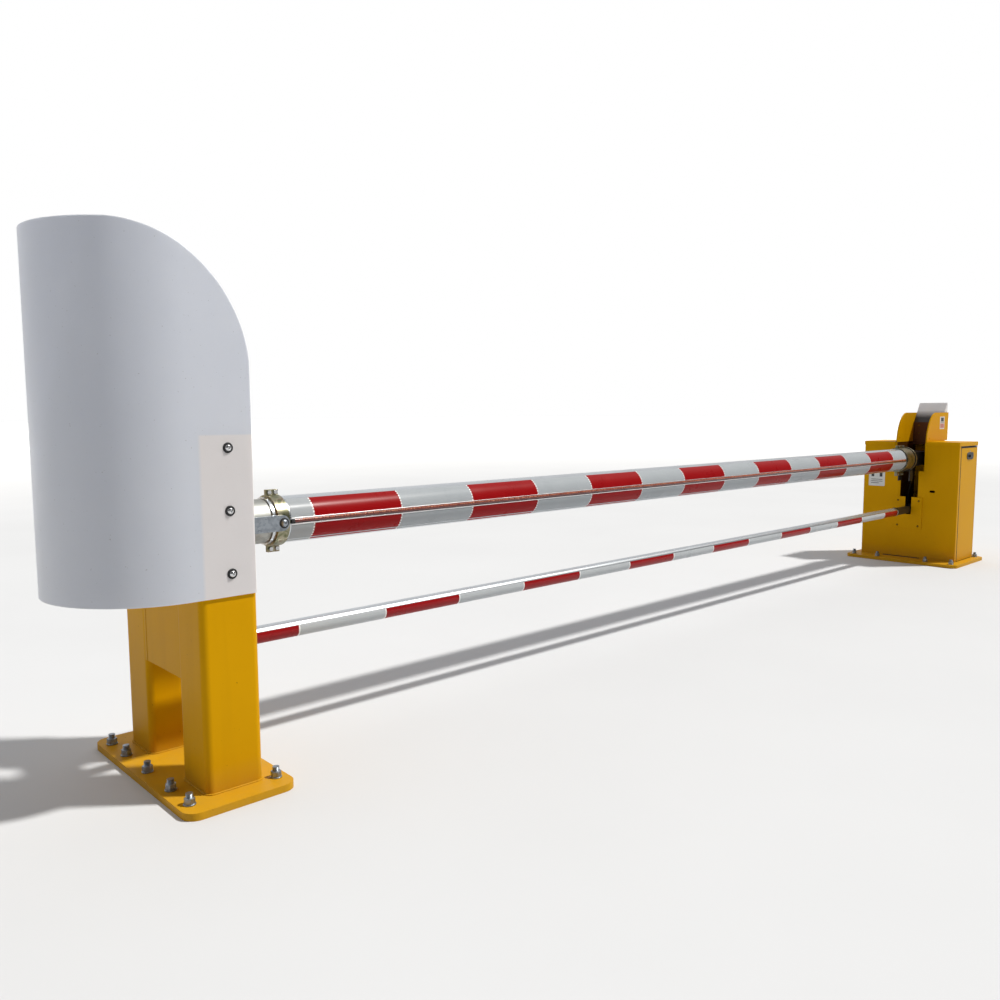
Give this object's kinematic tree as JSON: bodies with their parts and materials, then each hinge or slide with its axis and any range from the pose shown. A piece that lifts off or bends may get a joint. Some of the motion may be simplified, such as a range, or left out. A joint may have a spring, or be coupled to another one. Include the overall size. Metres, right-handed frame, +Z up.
{
  "type": "parking barrier gate",
  "caption": "Road barrier gate: striped round boom over a linked lower rail, yellow drive cabinet and a twin-column catch post with a curved plastic end guard.",
  "frame": {"origin": "ground point under the centre of the cabinet, on the underside of its base plate", "axes": "+Z up, -X from the cabinet toward the catch post along the boom, symmetry plane at Y = 0"},
  "size_m": [7.3105, 0.92, 1.876],
  "materials": {
    "yellow_steel": "yellow powder coat",
    "dark_steel": "dark primer",
    "black_rubber": "matte",
    "guard_plastic": "milky translucent sheet",
    "white_plastic": "satin",
    "plated_fasteners": "zinc plated",
    "bearing_iron": "painted casting",
    "gearbox_iron": "grey enamel casting",
    "motor_paint": "grey enamel",
    "spring_steel": "oiled spring steel",
    "control_grey": "light grey",
    "switch_black": "matte",
    "boom_aluminium": "mill finish extrusion",
    "light_rope": "clear tube over red lights",
    "red_tape": "reflective sheeting",
    "white_tape": "reflective sheeting",
    "rail_aluminium": "mill finish",
    "zinc_yellow": "yellow zinc plating",
    "galvanised": "hot-dip galvanised",
    "cable_steel": "stranded",
    "shaft_steel": "turned",
    "lock_black": "satin black"
  },
  "bodies": {
    "root": {"post_base_plate": "yellow_steel", "post_columns": "yellow_steel", "post_column_caps": "yellow_steel", "post_web_plate": "yellow_steel", "saddle_brackets": "yellow_steel", "saddle_pads": "black_rubber", "end_guard": "guard_plastic", "guard_washers": "black_rubber", "guard_bolts": "plated_fasteners", "cabinet_base_plate": "yellow_steel", "cabinet_front_panel": "yellow_steel", "cabinet_rear_panel": "yellow_steel", "cheek_plate_near": "yellow_steel", "cheek_plate_far": "yellow_steel", "cabinet_top_caps": "yellow_steel", "slot_back_plate": "yellow_steel", "boom_deflector": "white_plastic", "rail_cover_plate": "yellow_steel", "panel_screws": "plated_fasteners", "bearing_housings": "bearing_iron", "machine_bolts": "plated_fasteners", "gearbox": "gearbox_iron", "motor": "motor_paint", "balance_spring": "spring_steel", "spring_anchor": "dark_steel", "control_box": "control_grey", "limit_switches": "switch_black", "rail_pedestal": "dark_steel", "door_hinge_studs": "plated_fasteners"},
    "boom": {"boom_tube": "boom_aluminium", "boom_light_ropes": "light_rope", "boom_light_caps": "black_rubber", "boom_tape_red": "red_tape", "boom_tape_white": "white_tape", "tip_sleeve": "galvanised", "tip_clamp_halves": "zinc_yellow", "butt_clamp_halves": "zinc_yellow", "clamp_bolts": "plated_fasteners", "tongue_bars": "galvanised", "tongue_bolt": "plated_fasteners", "catch_head": "galvanised", "crash_cables": "cable_steel", "boom_hub": "dark_steel", "rail_guide_plates": "dark_steel", "main_shaft": "shaft_steel", "drive_lever": "dark_steel", "limit_cam": "dark_steel"},
    "rail": {"lower_rail": "rail_aluminium", "rail_tape_red": "red_tape", "rail_tape_white": "white_tape", "rail_end_cap": "black_rubber", "rail_bracket": "dark_steel", "rail_lever": "dark_steel"},
    "link": {"link_rod": "dark_steel"},
    "crank": {"drive_crank": "dark_steel"},
    "push": {"push_rod": "dark_steel"},
    "near_door": {"door_near": "yellow_steel"},
    "far_door": {"door_far": "yellow_steel"},
    "near_lock": {"door_lock_near": "lock_black"},
    "far_lock": {"door_lock_far": "lock_black"}
  },
  "joints": [
    {"name": "boom_lift", "type": "hinge", "parent": "root", "child": "boom", "pos_m": [0, 0, 0.8784], "axis": [0, 1, 0], "range_deg": [0, 89]},
    {"name": "rail_lift", "type": "hinge", "parent": "root", "child": "rail", "pos_m": [-0.178, 0, 0.4414], "axis": [0, 1, 0], "range_deg": [0, 89]},
    {"name": "link_swing", "type": "hinge", "parent": "boom", "child": "link", "pos_m": [0.09, 0.065, 0.8784], "axis": [0, 1, 0], "range_deg": [-89, 0]},
    {"name": "crank_turn", "type": "hinge", "parent": "root", "child": "crank", "pos_m": [0.02, -0.2, 0.476], "axis": [0, 1, 0], "range_deg": [0, 89]},
    {"name": "push_swing", "type": "hinge", "parent": "boom", "child": "push", "pos_m": [0.092, -0.231, 0.9704], "axis": [0, 1, 0], "range_deg": [-89, 0]},
    {"name": "near_door_hinge", "type": "hinge", "parent": "root", "child": "near_door", "pos_m": [0.183, -0.3846, 0.5], "axis": [0, 0, 1], "range_deg": [0, 105]},
    {"name": "far_door_hinge", "type": "hinge", "parent": "root", "child": "far_door", "pos_m": [0.183, 0.3846, 0.5], "axis": [0, 0, -1], "range_deg": [0, 105]},
    {"name": "near_lock_turn", "type": "hinge", "parent": "near_door", "child": "near_lock", "pos_m": [0.034, -0.39, 0.9054], "axis": [0, 1, 0], "range_deg": [0, 90]},
    {"name": "far_lock_turn", "type": "hinge", "parent": "far_door", "child": "far_lock", "pos_m": [0.034, 0.39, 0.9054], "axis": [0, 1, 0], "range_deg": [0, 90]}
  ],
  "couplings": [
    {"joint": "rail_lift", "follows": "boom_lift", "ratio": 1},
    {"joint": "link_swing", "follows": "boom_lift", "ratio": -1},
    {"joint": "crank_turn", "follows": "boom_lift", "ratio": 1},
    {"joint": "push_swing", "follows": "boom_lift", "ratio": -1}
  ]
}
